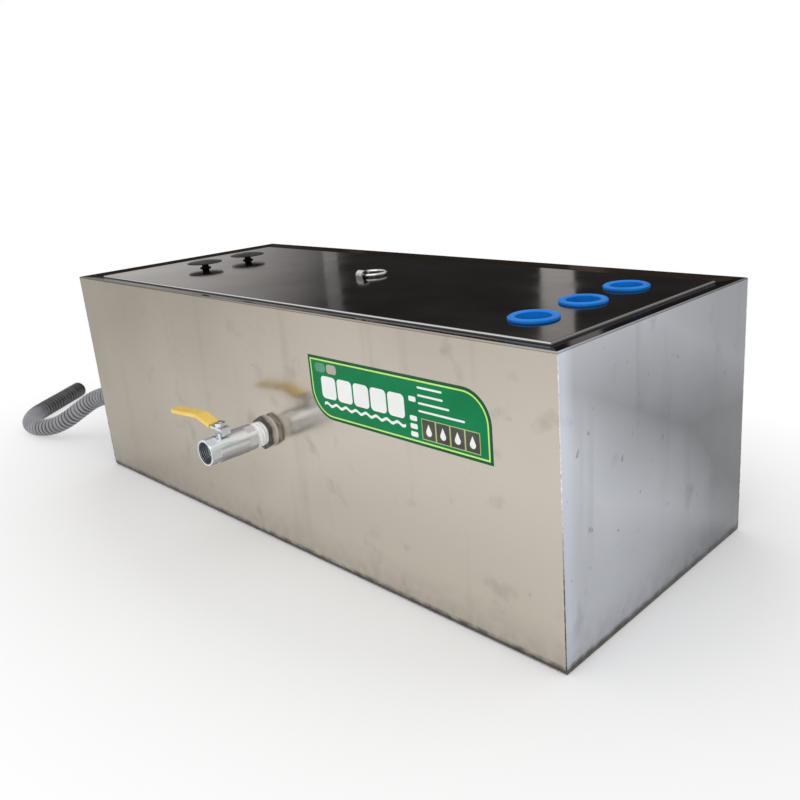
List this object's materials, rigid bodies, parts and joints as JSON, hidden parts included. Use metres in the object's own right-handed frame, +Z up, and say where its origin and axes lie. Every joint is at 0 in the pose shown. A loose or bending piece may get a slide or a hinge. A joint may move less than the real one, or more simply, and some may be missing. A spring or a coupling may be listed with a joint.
{
  "type": "grease trap",
  "caption": "Rectangular stainless steel grease trap with a loose dark lid, soft inlet sleeves, a lever ball valve for oil and a drain hose.",
  "frame": {"origin": "centre of the underside of the tank's floor", "axes": "+X along the tank towards the inlets, -Y out of the front wall along the oil valve, +Z up"},
  "size_m": [1.512, 0.498, 0.3565],
  "materials": {
    "tank_steel": "satin mill finish",
    "dark_lid": "dark gloss",
    "bright_steel": "polished",
    "dark_nut": "dark, slightly oily",
    "blue_rubber": "soft satin",
    "black_rubber": "matt",
    "tan_rubber": "matt",
    "white_tape": "matt",
    "black_plastic": "moulded satin",
    "yellow_vinyl": "dipped vinyl",
    "grey_hose": "corrugated, satin",
    "green_label": "printed film"
  },
  "bodies": {
    "trap": {"floor_pan": "tank_steel", "front_panel": "tank_steel", "back_panel": "tank_steel", "end_panel_left": "tank_steel", "end_panel_right": "tank_steel", "rim_ledge": "tank_steel", "lid_gasket": "black_rubber", "lid": "dark_lid", "inlet_grommet_front": "blue_rubber", "inlet_grommet_middle": "blue_rubber", "inlet_grommet_back": "blue_rubber", "ring_strap": "bright_steel", "lid_knob_front": "black_plastic", "lid_knob_back": "black_plastic", "knob_screws": "bright_steel", "basket_rail_front": "tank_steel", "basket_rail_back": "tank_steel", "strainer_basket": "tank_steel", "inlet_baffle": "tank_steel", "outlet_baffle": "tank_steel", "valve_nipple": "bright_steel", "pipe_washer_outer": "tan_rubber", "pipe_washer_inner": "tan_rubber", "pipe_nut_outer": "dark_nut", "pipe_nut_inner": "dark_nut", "thread_tape": "white_tape", "valve_body": "bright_steel", "valve_insert": "bright_steel", "valve_seats": "white_tape", "stem_packing": "white_tape", "gland_nut": "bright_steel", "outlet_spigot": "bright_steel", "outlet_gasket": "black_rubber", "outlet_nut": "bright_steel", "outlet_riser": "tank_steel", "hose_cuff": "black_rubber", "hose_clamp": "bright_steel", "clamp_screw": "bright_steel", "drain_hose": "grey_hose", "hose_end_cuff": "black_rubber", "front_label": "green_label"},
    "valve_handle": {"valve_ball": "bright_steel", "valve_stem": "bright_steel", "valve_lever": "bright_steel", "lever_sleeve": "yellow_vinyl", "lever_nut": "bright_steel"},
    "ring": {"lid_ring": "bright_steel"}
  },
  "joints": [
    {"name": "valve_turn", "type": "hinge", "parent": "trap", "child": "valve_handle", "pos_m": [0.014, -0.2705, 0.1695], "axis": [0, 0, 1], "range_deg": [0, 90]},
    {"name": "ring_fold", "type": "hinge", "parent": "trap", "child": "ring", "pos_m": [0, 0.005, 0.3463], "axis": [1, 0, 0], "range_deg": [0, 180]}
  ]
}
